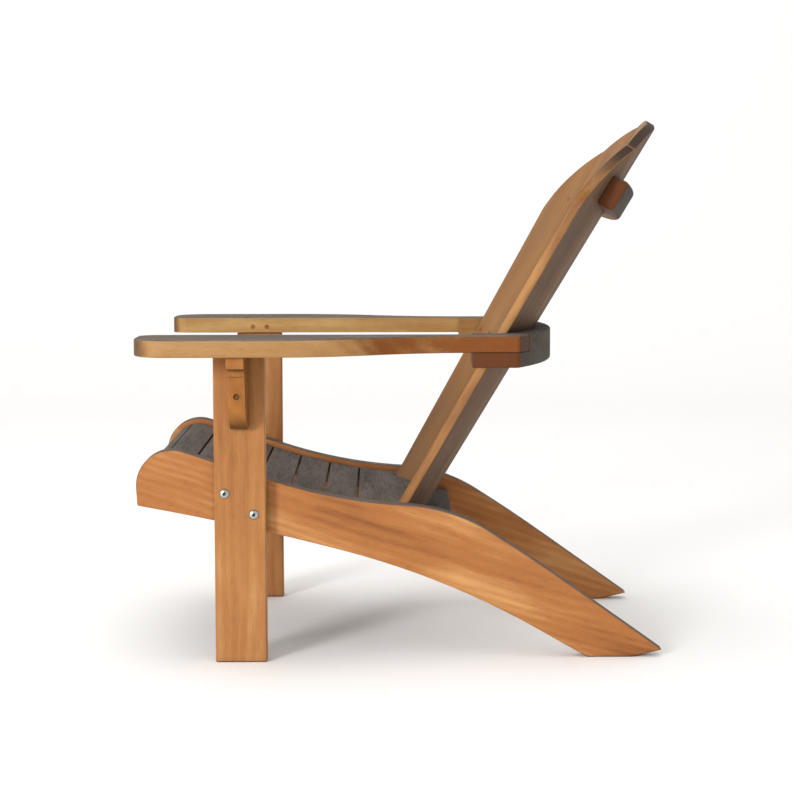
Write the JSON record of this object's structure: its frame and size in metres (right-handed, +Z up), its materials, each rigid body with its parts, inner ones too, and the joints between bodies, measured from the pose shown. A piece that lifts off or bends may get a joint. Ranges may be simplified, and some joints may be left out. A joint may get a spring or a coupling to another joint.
{
  "type": "adirondack chair",
  "caption": "Fixed hardwood adirondack chair with curved stringers, broad arms on brackets, a slatted dished seat and a reclined arched back of fanned slats on curved rails.",
  "frame": {"origin": "centre of the chair's footprint box, on the floor", "axes": "+Z up, -Y the way the chair faces, +X the sitter's left"},
  "size_m": [0.794, 0.9412, 0.9573],
  "materials": {
    "oiled_wood": "oiled hardwood, satin, orange brown with soft grain",
    "weathered_wood": "hardwood weathered dark grey brown on its upper faces",
    "bolt_steel": "bright zinc-plated or stainless fasteners"
  },
  "bodies": {
    "root": {"arm_bracket_left": "oiled_wood", "arm_bracket_right": "oiled_wood", "arm_left": "weathered_wood", "arm_plug_front_left": "oiled_wood", "arm_plug_front_right": "oiled_wood", "arm_plug_rear_left": "oiled_wood", "arm_plug_rear_right": "oiled_wood", "arm_rail": "weathered_wood", "arm_right": "weathered_wood", "back_slat_1": "oiled_wood", "back_slat_2": "oiled_wood", "back_slat_3": "oiled_wood", "back_slat_4": "oiled_wood", "back_slat_5": "oiled_wood", "bolt_lower_left": "bolt_steel", "bolt_lower_right": "bolt_steel", "bolt_upper_left": "bolt_steel", "bolt_upper_right": "bolt_steel", "bracket_plug_left": "oiled_wood", "bracket_plug_right": "oiled_wood", "front_apron": "weathered_wood", "front_leg_left": "oiled_wood", "front_leg_right": "oiled_wood", "lower_back_rail": "weathered_wood", "nut_lower_left": "bolt_steel", "nut_lower_right": "bolt_steel", "nut_upper_left": "bolt_steel", "nut_upper_right": "bolt_steel", "seat_cleat_left": "oiled_wood", "seat_cleat_right": "oiled_wood", "seat_slat_01": "weathered_wood", "seat_slat_02": "weathered_wood", "seat_slat_03": "weathered_wood", "seat_slat_04": "weathered_wood", "seat_slat_05": "weathered_wood", "seat_slat_06": "weathered_wood", "seat_slat_07": "weathered_wood", "seat_slat_08": "weathered_wood", "seat_slat_09": "weathered_wood", "stringer_left": "oiled_wood", "stringer_right": "oiled_wood", "top_back_rail": "oiled_wood", "washer_lower_left": "bolt_steel", "washer_lower_right": "bolt_steel", "washer_upper_left": "bolt_steel", "washer_upper_right": "bolt_steel"}
  },
  "joints": []
}
